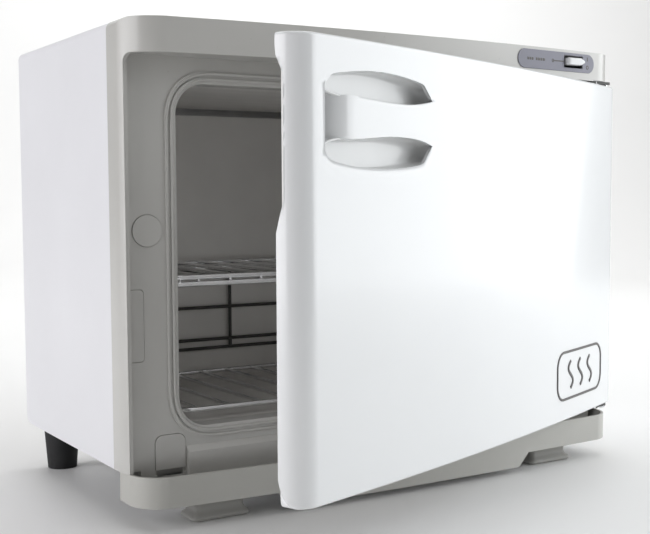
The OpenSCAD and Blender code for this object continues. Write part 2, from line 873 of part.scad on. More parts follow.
module door_screws() color("silver") on_door()
    for (p = door_screw_places()) {
        rod_y(p[0], p[1], door_back_y - 8, door_back_y, 2.9);
        rod_y(p[0], p[1], door_back_y, door_back_y + 1.3, 6);
    }

module door_gasket() color("lightgray") on_door()
    along_y(door_back_y - 0.8, door_back_y + 2) difference() {
        cavity_outline(10.6);
        cavity_outline(1.4);
    }

module door_bushes() color("ivory") on_door()
    for (z = [door_z0, door_z1 - 12])
        difference() {
            rod_z(hinge_x, hinge_y, z, z + 12, 12);
            rod_z(hinge_x, hinge_y, z - 1, z + 13, pin_d + 0.1);
        }

module door_magnet() color("dimgray") on_door()
    along_y(door_back_y - 6, door_back_y + 0.6) round_rect(-217.6, -208.4, 120.4, 158.6, 0.8);

// Moulded cup behind the handle window
module handle_cup() color("lightsteelblue") on_door() difference() {
    along_y(cup_y - 16, cup_y) difference() {
        round_rect(handle_x0 - 3.4, handle_x1 + 4, 240.5, 307.5, 6);
    }
    along_y(cup_y - 40, cup_y - 1.4) round_rect(handle_x0 - 1.6, handle_x1 + 2.2, 242.3, 305.7, 5);
    along_z(200, 330) difference() {
        translate([-300, -80])
            square([400, 80]);
        door_plan(door_t + 0.1);
    }
}

// Plain pill-shaped badge with a three-wave steam mark standing on it
module badge() color("darkgray") on_door() intersection() {
    along_z(60, 110) difference() {
        bowed_plan(door_x0 - 0.6, door_x1 + 0.6, face_y - 0.6, door_bow, door_r + 0.6, -20);
        door_plan();
    }
    along_y(face_y - 20, face_y + 5) {
        difference() {
            round_rect(96, 190, 64, 104, 12);
            round_rect(98, 188, 66, 102, 10);
        }
        for (i = [-1 : 1])
            steam_wave(143 + i * 20, 84);
    }
}

// One upright S-shaped steam wave made of two half rings
module steam_wave(x, z) {
    for (side = [-1, 1])
        translate([x, z + side * 5.5])
            intersection() {
                difference() {
                    circle(6.5);
                    circle(4.5);
                }
                translate([side > 0 ? 0 : -8, -8])
                    square([8, 16]);
            }
}

wrap_cover();
back_panel();
base_plate();
front_frame();
screw_cap();
striker_plate();
drain_cover();
cavity_liner();
heater_plate();
heating_element();
insulation_wrap();
insulation_rear();
thermostat();
thermal_fuse();
terminal_block();
wiring_harness();
power_inlet();
earth_stud();
wire_shelf();
shelf_rails();
rear_guard();
floor_rack();
tray_carrier();
drip_tray();
front_feet();
rear_feet();
foot_screws();
back_screws();
hinge_bracket_upper();
hinge_bracket_lower();
hinge_pins();
hinge_screws();
control_label();
switch_body();
power_knob();
door_shell();
door_inner();
door_foam();
door_gasket();
door_bushes();
door_magnet();
door_screws();
handle_cup();
badge();
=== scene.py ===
"""Hot towel cabinet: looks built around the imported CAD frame. Sizes in millimetres, built at 0.001."""

import json
import math

import bmesh
import bpy
from mathutils import Matrix, Vector


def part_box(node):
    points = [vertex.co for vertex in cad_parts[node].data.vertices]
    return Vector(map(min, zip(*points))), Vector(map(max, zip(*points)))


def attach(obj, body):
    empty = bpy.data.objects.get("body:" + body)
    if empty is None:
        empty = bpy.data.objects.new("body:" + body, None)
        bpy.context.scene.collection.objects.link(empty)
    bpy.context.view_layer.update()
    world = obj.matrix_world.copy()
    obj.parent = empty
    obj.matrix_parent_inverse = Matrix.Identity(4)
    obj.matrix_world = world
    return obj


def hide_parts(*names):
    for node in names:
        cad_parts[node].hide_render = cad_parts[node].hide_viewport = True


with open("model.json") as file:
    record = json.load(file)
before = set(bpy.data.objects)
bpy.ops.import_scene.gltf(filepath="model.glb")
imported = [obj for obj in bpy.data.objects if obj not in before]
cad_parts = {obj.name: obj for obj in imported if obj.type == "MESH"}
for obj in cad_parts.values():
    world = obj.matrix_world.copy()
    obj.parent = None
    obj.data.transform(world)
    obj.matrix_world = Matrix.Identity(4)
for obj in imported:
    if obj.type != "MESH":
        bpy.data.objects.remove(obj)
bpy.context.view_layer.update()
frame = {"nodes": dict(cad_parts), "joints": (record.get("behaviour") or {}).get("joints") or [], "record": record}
MM = 0.001
scene = bpy.context.scene


def edge_mm(node):
    """A CAD node's lowest and highest corner in millimetres."""
    lo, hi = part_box(node)
    return lo / MM, hi / MM


# ---------------------------------------------------------------- camera and light

def make_camera():
    data = bpy.data.cameras.new("camera")
    cam = bpy.data.objects.new("camera", data)
    scene.collection.objects.link(cam)
    yaw, pitch, roll = 0.5557, -0.0741, -0.0048
    look = Vector((math.sin(yaw) * math.cos(pitch), math.cos(yaw) * math.cos(pitch), math.sin(pitch)))
    right = Vector((math.cos(yaw), -math.sin(yaw), 0))
    up = right.cross(look)
    right, up = (math.cos(roll) * right + math.sin(roll) * up,
                 math.cos(roll) * up - math.sin(roll) * right)
    cam.matrix_world = Matrix((
        (right.x, up.x, -look.x, -0.5097),
        (right.y, up.y, -look.y, -0.7469),
        (right.z, up.z, -look.z, 0.2275),
        (0, 0, 0, 1)))
    data.sensor_width = 36
    data.lens = 62.39
    data.shift_x = 0.0005
    data.shift_y = 0.0213
    data.clip_start = 0.02
    data.clip_end = 20
    scene.camera = cam


def softbox(name, azimuth, height, distance, size, watts, aim=(0, -0.02, 0.17), colour=(1, 1, 1)):
    """An area light round the object; azimuth 0 is in front of it and 90 at its right."""
    data = bpy.data.lights.new(name, "AREA")
    data.shape = "RECTANGLE"
    data.size, data.size_y = size
    data.energy = watts
    data.color = colour
    lamp = bpy.data.objects.new(name, data)
    a = math.radians(azimuth)
    lamp.location = Vector((math.sin(a) * distance, -math.cos(a) * distance, height))
    lamp.rotation_euler = (Vector(aim) - lamp.location).to_track_quat("-Z", "Y").to_euler()
    scene.collection.objects.link(lamp)


def make_light():
    softbox("key_right", 62, 0.85, 1.8, (2.1, 1.9), 37, colour=(0.96, 0.985, 1.0))
    softbox("side_left", -92, 0.5, 1.7, (1.5, 1.3), 19, colour=(0.985, 0.98, 1.0))
    softbox("overhead", 10, 2.1, 0.5, (1.7, 1.3), 7)
    softbox("backdrop_glow", 168, 2.6, 1.2, (3.4, 1.0), 80, aim=(1.0, 3.0, 0.6))
    world = bpy.data.worlds.new("studio")
    world.use_nodes = True
    world.node_tree.nodes["Background"].inputs["Color"].default_value = (1.0, 0.985, 0.96, 1)
    world.node_tree.nodes["Background"].inputs["Strength"].default_value = 0.09
    scene.world = world
    scene.view_settings.view_transform = "Standard"
    scene.view_settings.look = "None"


# ---------------------------------------------------------------- materials

def finish(slot, colour, rough, vary=0.05, patch=18, rough_vary=0.06, bump=0.1, grain=900,
           stretch=(1, 1, 1), **sockets):
    """A procedural finish: slow colour variation, finer roughness variation and a grain."""
    mat = bpy.data.materials.new(slot)
    mat.use_nodes = True
    nodes, links = mat.node_tree.nodes, mat.node_tree.links
    bsdf = nodes["Principled BSDF"]
    for key, value in sockets.items():
        name = key.replace("_", " ")
        bsdf.inputs[name].default_value = value
    coords = nodes.new("ShaderNodeTexCoord")
    mapping = nodes.new("ShaderNodeMapping")
    mapping.inputs["Scale"].default_value = stretch
    links.new(coords.outputs["Object"], mapping.inputs["Vector"])

    def noise(scale, detail):
        n = nodes.new("ShaderNodeTexNoise")
        n.inputs["Scale"].default_value = scale
        n.inputs["Detail"].default_value = detail
        links.new(mapping.outputs["Vector"], n.inputs["Vector"])
        return n.outputs["Fac"]

    ramp = nodes.new("ShaderNodeValToRGB")
    ramp.color_ramp.elements[0].position = 0.3
    ramp.color_ramp.elements[1].position = 0.7
    ramp.color_ramp.elements[0].color = tuple(c * (1 - vary) for c in colour) + (1,)
    ramp.color_ramp.elements[1].color = tuple(min(c * (1 + vary), 1) for c in colour) + (1,)
    links.new(noise(patch, 3), ramp.inputs["Fac"])
    links.new(ramp.outputs["Color"], bsdf.inputs["Base Color"])
    spread = nodes.new("ShaderNodeMapRange")
    spread.inputs["To Min"].default_value = max(rough - rough_vary, 0.02)
    spread.inputs["To Max"].default_value = min(rough + rough_vary, 1)
    links.new(noise(grain / 12, 2), spread.inputs["Value"])
    links.new(spread.outputs["Result"], bsdf.inputs["Roughness"])
    if bump:
        relief = nodes.new("ShaderNodeBump")
        relief.inputs["Strength"].default_value = bump
        relief.inputs["Distance"].default_value = 0.0002
        links.new(noise(grain, 2), relief.inputs["Height"])
        links.new(relief.outputs["Normal"], bsdf.inputs["Normal"])
    return mat


FINISHES = {
    "cover_paint": finish("cover_paint", (0.80, 0.80, 0.83), 0.38, 0.02, 9, 0.05, 0.10, 1400),
    "bare_steel": finish("bare_steel", (0.62, 0.62, 0.63), 0.36, 0.10, 60, 0.10, 0.08, 500,
                         (1, 1, 9), Metallic=1),
    "frame_plastic": finish("frame_plastic", (0.56, 0.553, 0.53), 0.30, 0.03, 12, 0.05, 0.10, 2200,
                            Coat_Weight=0.5, Coat_Roughness=0.2),
    "liner_metal": finish("liner_metal", (0.78, 0.765, 0.74), 0.40, 0.05, 14, 0.08, 0.06, 700,
                          (1, 5, 1), Metallic=0.25),
    "heater_sheath": finish("heater_sheath", (0.16, 0.155, 0.15), 0.5, 0.2, 80, 0.1, 0.2, 900, Metallic=0.8),
    "glass_wool": finish("glass_wool", (0.80, 0.72, 0.46), 0.95, 0.15, 90, 0.04, 1.0, 500, (1, 6, 1)),
    "ceramic": finish("ceramic", (0.80, 0.77, 0.68), 0.6, 0.04, 70, 0.08, 0.15, 1500),
    "wire_insulation": finish("wire_insulation", (0.50, 0.09, 0.07), 0.45, 0.12, 120, 0.08, 0.2, 1500),
    "black_plastic": finish("black_plastic", (0.028, 0.028, 0.03), 0.42, 0.2, 40, 0.08, 0.2, 2200),
    "brass": finish("brass", (0.78, 0.58, 0.26), 0.28, 0.08, 90, 0.08, 0.05, 900, Metallic=1),
    "chrome_wire": finish("chrome_wire", (0.78, 0.78, 0.79), 0.17, 0.05, 60, 0.06, 0.03, 900, Metallic=1),
    "dark_metal": finish("dark_metal", (0.055, 0.053, 0.05), 0.42, 0.15, 60, 0.08, 0.1, 1200),
    "tray_plastic": finish("tray_plastic", (0.50, 0.495, 0.465), 0.42, 0.03, 14, 0.05, 0.15, 2200),
    "black_rubber": finish("black_rubber", (0.010, 0.010, 0.011), 0.7, 0.25, 50, 0.08, 0.4, 1300),
    "zinc_screw": finish("zinc_screw", (0.70, 0.70, 0.70), 0.3, 0.08, 200, 0.08, 0.05, 1500, Metallic=1),
    "pin_steel": finish("pin_steel", (0.66, 0.66, 0.68), 0.22, 0.05, 120, 0.06, 0.04, 900, (1, 1, 12),
                        Metallic=1),
    "label_grey": finish("label_grey", (0.20, 0.20, 0.25), 0.35, 0.04, 60, 0.05, 0.06, 3000),
    "white_gloss": finish("white_gloss", (0.86, 0.87, 0.88), 0.20, 0.012, 7, 0.04, 0.04, 500,
                          Coat_Weight=0.35, Coat_Roughness=0.08),
    "door_white": finish("door_white", (0.78, 0.78, 0.77), 0.45, 0.02, 14, 0.05, 0.12, 2000),
    "foam": finish("foam", (0.85, 0.78, 0.52), 0.95, 0.10, 60, 0.04, 1.0, 1200),
    "gasket_rubber": finish("gasket_rubber", (0.38, 0.38, 0.38), 0.6, 0.08, 60, 0.06, 0.25, 1400),
    "nylon": finish("nylon", (0.80, 0.79, 0.72), 0.4, 0.05, 60, 0.08, 0.1, 1500),
    "magnet": finish("magnet", (0.04, 0.04, 0.042), 0.6, 0.2, 90, 0.08, 0.3, 1500),
    "cup_plastic": finish("cup_plastic", (0.75, 0.755, 0.755), 0.24, 0.015, 12, 0.05, 0.05, 600,
                          Coat_Weight=0.3, Coat_Roughness=0.1),
    "badge_grey": finish("badge_grey", (0.085, 0.078, 0.075), 0.35, 0.08, 120, 0.06, 0.08, 2000),
}
# painted shade: a darker copy of the tray plastic for the feet, standing in for the shadow under the casing
SHADED_FEET = finish("feet_painted_shade", (0.38, 0.375, 0.355), 0.5, 0.04, 14, 0.05, 0.2, 2000)
WHITE_PRINT = finish("white_print", (0.82, 0.82, 0.84), 0.4, 0.02, 90, 0.05, 0.05, 3000)
FLOOR = finish("pale_floor", (0.86, 0.86, 0.855), 0.55, 0.01, 2, 0.04, 0.05, 60)


# ---------------------------------------------------------------- mesh helpers

def new_piece(name, bm, slot, body, nodes=(), smooth=True, bevel=0.0, angle=35, segments=2, solid=0.0):
    """Links a mesh as a piece of a body, with its finish and edge modifiers."""
    if not solid:
        bmesh.ops.recalc_face_normals(bm, faces=bm.faces)
    mesh = bpy.data.meshes.new(name)
    bm.to_mesh(mesh)
    bm.free()
    ob = bpy.data.objects.new(name, mesh)
    scene.collection.objects.link(ob)
    mesh.materials.append(FINISHES.get(slot, WHITE_PRINT))
    for poly in mesh.polygons:
        poly.use_smooth = smooth
    if solid:
        wall = ob.modifiers.new("wall", "SOLIDIFY")
        wall.thickness = solid * MM
        wall.offset = -1
        wall.use_even_offset = False
        wall.use_rim = True
    soften(ob, bevel, angle, segments)
    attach(ob, body)
    if nodes:
        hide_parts(*nodes)
    return ob


def soften(ob, bevel, angle=35, segments=2):
    if bevel:
        edge = ob.modifiers.new("round_edges", "BEVEL")
        edge.width = bevel * MM
        edge.segments = segments
        edge.limit_method = "ANGLE"
        edge.angle_limit = math.radians(angle)
        edge.use_clamp_overlap = True
        edge.harden_normals = False
    even = ob.modifiers.new("even_normals", "WEIGHTED_NORMAL")
    even.keep_sharp = True
    even.weight = 80


def dress(node, bevel=0.3, angle=35, segments=2):
    """Gives a carried-over CAD node its finish and soft edges."""
    ob = frame["nodes"][node]
    slot = next(s["material_slot"] for s in frame["record"]["subparts"] if s["node"] == node)
    ob.data.materials.clear()
    ob.data.materials.append(FINISHES[slot])
    weld = ob.modifiers.new("weld", "WELD")
    weld.merge_threshold = 0.00002
    flat = ob.modifiers.new("flat", "DECIMATE")
    flat.decimate_type = "DISSOLVE"
    flat.angle_limit = math.radians(0.6)
    for poly in ob.data.polygons:
        poly.use_smooth = True
    soften(ob, bevel, angle, segments)


def grid_faces(bm, rows, skip=lambda i, j: False):
    """Quads between rows of vertices; a repeated vertex makes a triangle."""
    for i in range(len(rows) - 1):
        for j in range(len(rows[0]) - 1):
            if skip(i, j):
                continue
            ring = [rows[i][j], rows[i + 1][j], rows[i + 1][j + 1], rows[i][j + 1]]
            ring = [v for k, v in enumerate(ring) if v not in ring[:k]]
            if len(ring) > 2:
                try:
                    bm.faces.new(ring)
                except ValueError:
                    pass


def lerp(a, b, t):
    return a + (b - a) * t


def spline(points, x):
    """Height at x of a smooth curve through (x, z) points, Catmull-Rom."""
    if x <= points[0][0]:
        return points[0][1]
    if x >= points[-1][0]:
        return points[-1][1]
    k = max(i for i in range(len(points) - 1) if points[i][0] <= x)
    p1, p2 = points[k], points[k + 1]
    p0 = points[k - 1] if k else p1
    p3 = points[k + 2] if k + 2 < len(points) else p2
    t = (x - p1[0]) / (p2[0] - p1[0])
    m1 = (p2[1] - p0[1]) / max(p2[0] - p0[0], 1e-6) * (p2[0] - p1[0])
    m2 = (p3[1] - p1[1]) / max(p3[0] - p1[0], 1e-6) * (p2[0] - p1[0])
    return ((2 * t**3 - 3 * t**2 + 1) * p1[1] + (t**3 - 2 * t**2 + t) * m1
            + (3 * t**2 - 2 * t**3) * p2[1] + (t**3 - t**2) * m2)


def tube(bm, points, radius, closed=False, sides=12):
    """A round wire along points in millimetres."""
    pts = [Vector(p) for p in points]
    n = len(pts)
    rings = []
    side = None
    for i, p in enumerate(pts):
        before = pts[i - 1] if i or closed else p
        after = pts[(i + 1) % n] if i < n - 1 or closed else p
        along = (after - before).normalized()
        if side is None:
            side = along.orthogonal().normalized()
        side = (side - along * side.dot(along)).normalized()
        other = along.cross(side)
        grow = radius
        rings.append([bm.verts.new((p + grow * (math.cos(a) * side + math.sin(a) * other)) * MM)
                      for a in (2 * math.pi * k / sides for k in range(sides))])
    loops = rings + [rings[0]] if closed else rings
    for a, b in zip(loops, loops[1:]):
        for k in range(sides):
            bm.faces.new((a[k], a[(k + 1) % sides], b[(k + 1) % sides], b[k]))
    if not closed:
        bm.faces.new(rings[0][::-1])
        bm.faces.new(rings[-1])


def rounded(points, radius, closed=True, steps=6):
    """Points with each corner turned into an arc."""
    pts = [Vector(p) for p in points]
    out = []
    n = len(pts)
    for i, p in enumerate(pts):
        if not closed and i in (0, n - 1):
            out.append(p)
            continue
        a, b = (pts[i - 1] - p).normalized(), (pts[(i + 1) % n] - p).normalized()
        reach = min(radius / math.tan(a.angle(b) / 2), (pts[i - 1] - p).length * 0.49,
                    (pts[(i + 1) % n] - p).length * 0.49)
        for k in range(steps + 1):
            t = k / steps
            out.append((1 - t)**2 * (p + a * reach) + 2 * t * (1 - t) * p + t**2 * (p + b * reach))
    return out


def loft(bm, sections, corner=6):
    """A solid through rounded rectangles, each (centre x, centre y, z, half width, half depth, radius)."""
    rings = []
    for cx, cy, z, hw, hd, r in sections:
        ring = []
        for qx, qy, start in ((1, 1, 0), (-1, 1, 90), (-1, -1, 180), (1, -1, 270)):
            for k in range(corner + 1):
                a = math.radians(start + 90 * k / corner)
                ring.append(bm.verts.new(Vector((cx + qx * (hw - r) + r * math.cos(a),
                                                 cy + qy * (hd - r) + r * math.sin(a), z)) * MM))
        rings.append(ring)
    for a, b in zip(rings, rings[1:]):
        for k in range(len(a)):
            bm.faces.new((a[k], a[(k + 1) % len(a)], b[(k + 1) % len(a)], b[k]))
    bm.faces.new(rings[0][::-1])
    bm.faces.new(rings[-1])


# ---------------------------------------------------------------- the door's own space

HINGE = next(j for j in frame["joints"] if j["name"] == "door_hinge")
AXIS = Vector(HINGE["pos_m"])
AJAR = math.radians(21)
TO_DOOR = (Matrix.Translation(Vector((AXIS.x, AXIS.y, 0))) @ Matrix.Rotation(AJAR, 4, "Z")
           @ Matrix.Translation(Vector((-AXIS.x, -AXIS.y, 0))))
DOOR_X0, DOOR_X1, DOOR_Y, DOOR_BACK = -220.5, 223.5, -49.0, -30.5
DOOR_Z0, DOOR_Z1, DOOR_R, DOOR_BOW = 47.5, 320.5, 16.5, 7.0
DOOR_MID = (DOOR_X0 + DOOR_X1) / 2
DOOR_HALF = (DOOR_X1 - DOOR_X0) / 2 - DOOR_R
BOW_R = (DOOR_HALF**2 + DOOR_BOW**2) / (2 * DOOR_BOW)


def front_y(x, lift=0.0):
    """Y of the closed door's bowed front at x, lifted towards the viewer."""
    return DOOR_Y - DOOR_BOW + BOW_R - math.sqrt((BOW_R + lift)**2 - (x - DOOR_MID)**2)


def door_plan_columns(xs):
    """(x, y, outward normal x, outward normal y) across the closed door, from its free end to its hinge."""
    turn = math.asin(DOOR_HALF / (BOW_R - DOOR_R))
    cy = DOOR_Y - DOOR_BOW + BOW_R - (BOW_R - DOOR_R) * math.cos(turn)
    left, right = DOOR_MID - DOOR_HALF, DOOR_MID + DOOR_HALF
    out = [(DOOR_X0, lerp(DOOR_BACK, cy, t), -1, 0) for t in (0, 0.2, 0.4, 0.6, 0.8)]
    for k in range(15):
        a = lerp(math.pi, 1.5 * math.pi - turn, k / 14)
        out.append((left + DOOR_R * math.cos(a), cy + DOOR_R * math.sin(a), math.cos(a), math.sin(a)))
    edge = out[-1][0]
    for x in xs:
        if edge + 0.5 < x < 2 * DOOR_MID - edge - 0.5:
            s = (x - DOOR_MID) / BOW_R
            out.append((x, front_y(x), s, -math.sqrt(1 - s * s)))
    for k in range(15):
        a = lerp(1.5 * math.pi + turn, 2 * math.pi, k / 14)
        out.append((right + DOOR_R * math.cos(a), cy + DOOR_R * math.sin(a), math.cos(a), math.sin(a)))
    out += [(DOOR_X1, (DOOR_BACK + cy) / 2, 1, 0), (DOOR_X1, DOOR_BACK, 1, 0)]
    return out


PANEL_Y, BAND_HALF, BAND_BOW = -24.0, 193.0, 10.5

# The two leaves of the handle: where each starts and ends, and its inner and outer edges
LEAF_X0, LEAF_X1 = -198.6, -90.8
UP_OUT = [(-198.6, 292.0), (-196.0, 294.6), (-193.0, 297.5), (-190.5, 298.5), (-184, 299.6), (-164, 302.0),
          (-146, 302.7), (-130, 302.1), (-113, 300.4), (-101.5, 298.5), (-99.6, 297.4), (-90.8, 288.4)]
UP_IN = [(-198.6, 292.0), (-194.5, 289.9), (-186, 288.2), (-174, 287.1), (-154, 285.8), (-134, 284.8),
         (-113, 285.1), (-99, 286.8), (-90.8, 288.4)]
LOW_IN = [(-198.6, 254.2), (-194.5, 257.7), (-186, 259.9), (-174, 261.1), (-154, 263.0), (-134, 264.4),
          (-113, 264.0), (-99, 262.1), (-90.8, 259.9)]
LOW_OUT = [(-198.6, 254.2), (-197.2, 251.6), (-194, 249.2), (-183, 246.9), (-164, 244.9), (-144, 244.4),
           (-123.5, 245.4), (-106, 247.4), (-101, 248.8), (-99.4, 250.0), (-96, 254.2), (-90.8, 259.9)]
ROLL_X, ROLL_R, ROLL_WIDE, SKIN_T, LOW_STEPS = -169.2, 17.0, 5.4, 2.5, 24


def back_corner_rise(x, y):
    """How far the lower edge rises towards the rear corner of the door's free end."""
    if x > DOOR_X0 + DOOR_R:
        return 0
    depth = min(max((y + 42.5) / 12.7, 0), 1)
    return 22 * (1 - math.sqrt(1 - depth**2))


def end_profile(y):
    """X of the outside of the door's free end at depth y."""
    turn = math.asin(DOOR_HALF / (BOW_R - DOOR_R))
    ahead = max(DOOR_Y - DOOR_BOW + BOW_R - (BOW_R - DOOR_R) * math.cos(turn) - y, 0)
    return DOOR_MID - DOOR_HALF - math.sqrt(DOOR_R**2 - ahead**2)


def finger_notch(z):
    """How far the rear edge of the free end is cut back at height z, for fingers behind the door."""
    return 5.5 * min(max(min((z - 209) / 15, (309 - z) / 12), 0), 1)


def door_skin():
    """The moulded front: bowed, rolled at both ends, with the two leaves cut out and the grip rolled in."""
    xs = sorted(set([LEAF_X0, LEAF_X1, ROLL_X] + [p[0] for p in UP_OUT + LOW_OUT]
                    + [LEAF_X0 + 2.45 * k for k in range(1, 44)] + [-80 + 12 * k for k in range(24)]))
    xs = [x for i, x in enumerate(xs) if i == 0 or x - xs[i - 1] > 0.3 or x in (LEAF_X0, LEAF_X1, ROLL_X)]
    columns = door_plan_columns(xs)
    round_z = 2.2
    bm = bmesh.new()
    rows = []
    kinds = ["edge"] * 5 + ["low"] * LOW_STEPS + ["leaf"] + ["grip"] * 10
    kinds += ["leaf"] + ["top"] * 5 + ["edge"] * 5
    for i, (x, y, nx, ny) in enumerate(columns):
        z0, z1 = DOOR_Z0 + back_corner_rise(x, y), DOOR_Z1
        heights = []
        for k in range(6):
            a = math.radians(90 * k / 5)
            heights.append((z0 + round_z * (1 - math.cos(a)), round_z * (1 - math.sin(a))))
        inside = LEAF_X0 <= x <= LEAF_X1
        lo_a = spline(LOW_OUT, x) if inside else (LOW_OUT[0][1] if x < LEAF_X0 else LOW_OUT[-1][1])
        lo_b = spline(LOW_IN, x) if inside else lo_a
        up_a = spline(UP_IN, x) if inside else (UP_IN[0][1] if x < LEAF_X0 else UP_IN[-1][1])
        up_b = spline(UP_OUT, x) if inside else up_a
        for k in range(1, 7):
            heights.append((lerp(z0 + round_z, 84, k / 6), 0))
        for k in range(1, LOW_STEPS - 5):
            heights.append((lerp(84, lo_a, k / (LOW_STEPS - 6)), 0))
        heights.append((lo_b, 0))
        for k in range(1, 11):
            heights.append((lerp(lo_b, up_a, k / 10), 0))
        heights.append((up_b, 0))
        for k in range(1, 6):
            heights.append((lerp(up_b, z1 - round_z, k / 5), 0))
        for k in range(1, 6):
            a = math.radians(90 * k / 5)
            heights.append((z1 - round_z * (1 - math.sin(a)), round_z * (1 - math.cos(a))))
        column = []
        last = None
        for z, inset in heights:
            if last is not None and abs(z - last[0]) < 1e-4 and abs(inset - last[1]) < 1e-4:
                column.append(column[-1])
                continue
            px, py = x - nx * inset, y - ny * inset
            rear = DOOR_BACK - finger_notch(z)
            if i < 20 and py > rear:
                px, py = end_profile(rear) + inset, rear
            column.append(bm.verts.new(Vector((px, py, z)) * MM))
            last = (z, inset)
        # the top and bottom walls run back to the rear edge
        base, roof = column[0].co / MM, column[-1].co / MM
        column.insert(0, column[0] if i == 0 else bm.verts.new(Vector((base.x, DOOR_BACK, base.z)) * MM))
        column.append(column[-1] if i == 0 else bm.verts.new(Vector((roof.x, DOOR_BACK, roof.z)) * MM))
        rows.append(column)
    kinds = ["wall"] + kinds + ["wall"]
    first = next(i for i, c in enumerate(columns) if abs(c[0] - LEAF_X0) < 1e-6)
    roll = next(i for i, c in enumerate(columns) if abs(c[0] - ROLL_X) < 1e-6)
    last_leaf = next(i for i, c in enumerate(columns) if abs(c[0] - LEAF_X1) < 1e-6)

    def is_open(i, j):
        if not first <= i < last_leaf:
            return False
        return kinds[j] == "leaf" or (kinds[j] == "grip" and i < roll)

    grid_faces(bm, rows, is_open)
    # the grip's free end: a roll that turns into the door
    grip = [k for k in range(len(kinds)) if kinds[k] == "grip"]
    axis_y = front_y(ROLL_X) + ROLL_R
    curl = [[rows[roll][j] for j in range(grip[0], grip[-1] + 2)]]
    for k in range(1, 15):
        a = math.radians(6.5 * k)
        x, y = ROLL_X - (ROLL_R + ROLL_WIDE) * math.sin(a), axis_y - ROLL_R * math.cos(a)
        # from the fifth row on, the edges run inside the walls of the two cups
        tuck = min(max((k - 3) / 2, 0), 1)
        lo_b, up_a = spline(LOW_IN, x) + 0.4 * tuck, spline(UP_IN, x) - 0.7 * tuck
        curl.append([bm.verts.new(Vector((x, y, lerp(lo_b, up_a, t / 10))) * MM) for t in range(11)])
    grid_faces(bm, curl)
    # the edge of the free stile turns back a little behind the slot
    stile = [rows[first][j] for j in range(grip[0], grip[-1] + 2)]
    back = [bm.verts.new(v.co + Vector((0.0003, 0.005, 0))) for v in stile]
    grid_faces(bm, [stile, back])
    bmesh.ops.remove_doubles(bm, verts=bm.verts, dist=0.00002)
    bmesh.ops.recalc_face_normals(bm, faces=bm.faces)
    front = max(bm.faces, key=lambda f: abs(f.normal.y) * f.calc_area())
    if front.normal.y > 0:
        bmesh.ops.reverse_faces(bm, faces=bm.faces)
    bm.transform(TO_DOOR)
    return new_piece("door_skin", bm, "white_gloss", "door", ("door_shell",),
                     bevel=0.45, angle=50, solid=SKIN_T)


def finger_channel():
    """The shallow channel behind the notch in the door's free end."""
    bm = bmesh.new()
    back = DOOR_BACK - 2
    floor = DOOR_BACK - 5.5
    path = [(DOOR_X0 + 1.6, floor - 0.4), (-213.6, floor - 0.4), (-212.7, floor),
            (-212.4, floor + 0.8), (-212.4, back)]
    heights = [209, 209.3, 210.2, 307.8, 308.7, 309]
    rows = [[bm.verts.new(Vector((x, y if 1 < k < 4 else lerp(y, back, (0.8, 0.3)[min(k, 5 - k)]), z)) * MM)
             for k, z in enumerate(heights)] for x, y in path]
    grid_faces(bm, rows)
    bm.transform(TO_DOOR)
    ob = new_piece("finger_channel", bm, "door_white", "door", solid=1.4)
    ob.modifiers["wall"].offset = 0


def scoop(bm, inner, outer, slope_in, slope_out):
    """One leaf's moulded cup: walls that lean in, a floor that deepens, and a concave end under the skin."""
    floor_d, end_d, fillet = 11.5, 5.0, 10.0
    x1 = LEAF_X1 + 0.5
    xs = [LEAF_X0 - 0.4] + [LEAF_X0 + 3 * k for k in range(1, 32)] + \
         [x1 - fillet + fillet * math.sin(math.radians(90 * k / 8)) for k in range(9)]
    sign = 1 if outer[5][1] > inner[5][1] else -1
    outer = [p for p in outer if p[0] < -100] + [(LEAF_X1 + 1, spline(outer, -101.5) - sign * 2.6)]
    rows = []
    for x in xs:
        t = (x - LEAF_X0) / (LEAF_X1 - LEAF_X0)
        depth = lerp(9.0, floor_d, min(max(t * 1.6, 0), 1))
        if x > x1 - fillet:
            q = (x - (x1 - fillet)) / fillet
            depth = end_d + (floor_d - end_d) * math.sqrt(max(1 - q * q, 0))
        zi = spline(inner, x) - sign * 0.5
        zo = spline(outer, x) + sign * 0.5
        room = abs(zo - zi)
        si, so = (min(lerp(*s, min(max(t, 0), 1)), room * 0.42) for s in (slope_in, slope_out))
        line = []
        for k in range(7):
            a = math.radians(15 * k)
            line.append((zi + sign * si * (1 - math.cos(a)), SKIN_T + (depth - SKIN_T) * math.sin(a)))
        for k in range(1, 6):
            line.append((lerp(zi + sign * si, zo - sign * so, k / 6), depth))
        for k in range(7):
            a = math.radians(90 - 15 * k)
            line.append((zo - sign * so * (1 - math.cos(a)), SKIN_T + (depth - SKIN_T) * math.sin(a)))
        rows.append([bm.verts.new(Vector((x, front_y(x) + d, z)) * MM) for z, d in line])
    rows.insert(0, [bm.verts.new(Vector((xs[0], front_y(xs[0]) + SKIN_T, v.co.z / MM)) * MM)
                    for v in rows[0]])
    rows.append([bm.verts.new(Vector((x1, front_y(x1) + SKIN_T, v.co.z / MM)) * MM) for v in rows[-1]])
    grid_faces(bm, rows)


def handle_scoops():
    bm = bmesh.new()
    scoop(bm, UP_IN, UP_OUT, (0.4, 0.6), (1.5, 4.5))
    scoop(bm, LOW_IN, LOW_OUT, (0.4, 7.0), (0.8, 3.6))
    bmesh.ops.remove_doubles(bm, verts=bm.verts, dist=0.00001)
    bmesh.ops.recalc_face_normals(bm, faces=bm.faces)
    if sum(f.normal.y * f.calc_area() for f in bm.faces) > 0:
        bmesh.ops.reverse_faces(bm, faces=bm.faces)
    bm.transform(TO_DOOR)
    return new_piece("handle_scoops", bm, "cup_plastic", "door", ("handle_cup",), solid=1.4)


